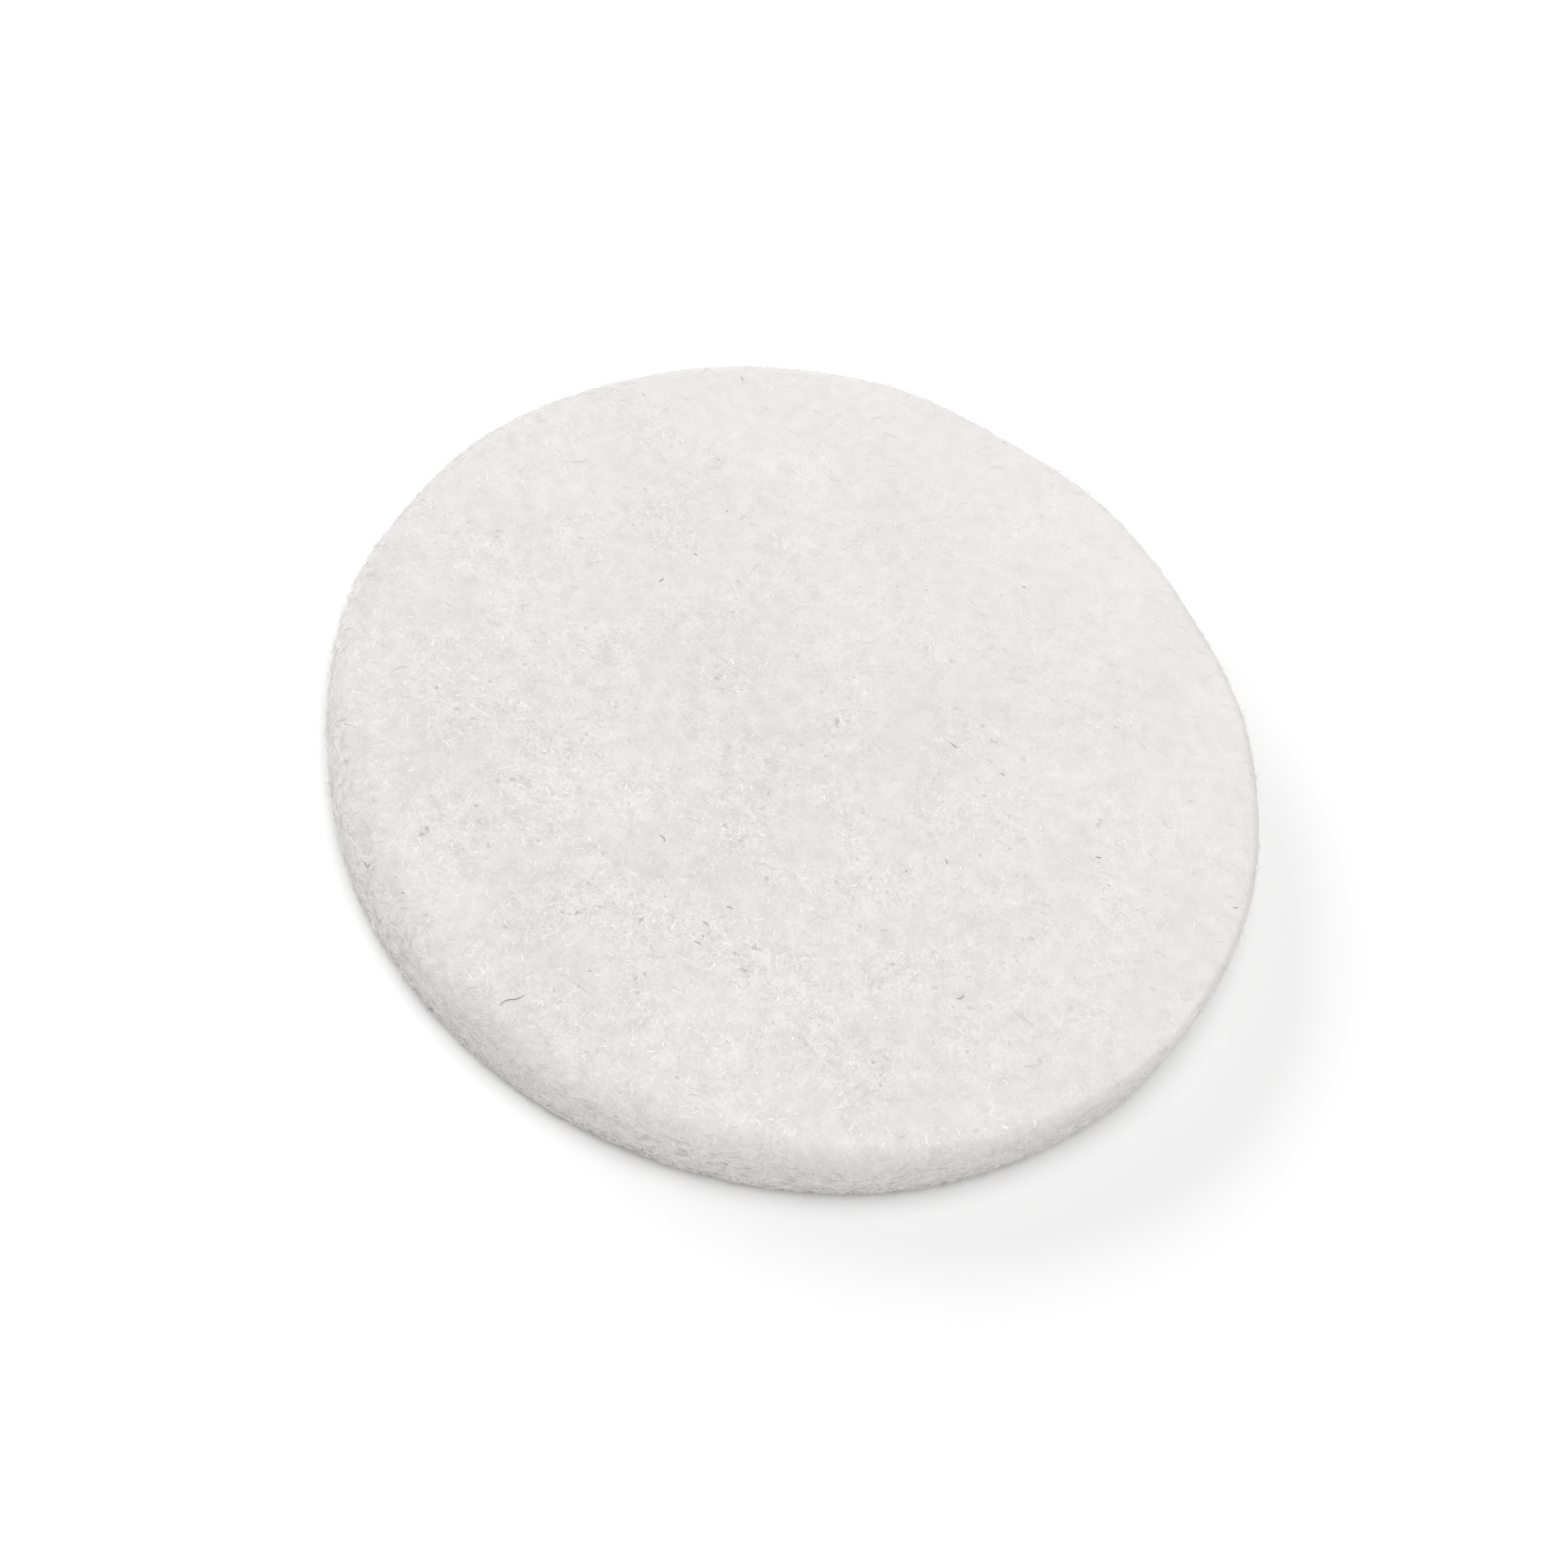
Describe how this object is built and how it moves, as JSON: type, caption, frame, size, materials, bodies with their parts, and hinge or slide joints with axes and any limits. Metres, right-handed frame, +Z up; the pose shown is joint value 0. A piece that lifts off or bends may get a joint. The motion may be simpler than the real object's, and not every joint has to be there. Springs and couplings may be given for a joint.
{
  "type": "felt polishing disc",
  "caption": "Plain round disc of thick pressed felt with a flat working face, a soft rounded rim and a peel-off self-adhesive back.",
  "frame": {"origin": "centre of the underside of the release liner, the face that the disc lies on", "axes": "+Z up along the disc's axis, out of the working face; the disc is round, so +X and +Y are any two directions across it"},
  "size_m": [0.0762, 0.0762, 0.0063],
  "materials": {
    "felt": "matte",
    "adhesive": "satin",
    "liner": "satin"
  },
  "bodies": {
    "root": {"felt_disc": "felt", "adhesive_film": "adhesive", "release_liner": "liner"}
  },
  "joints": []
}
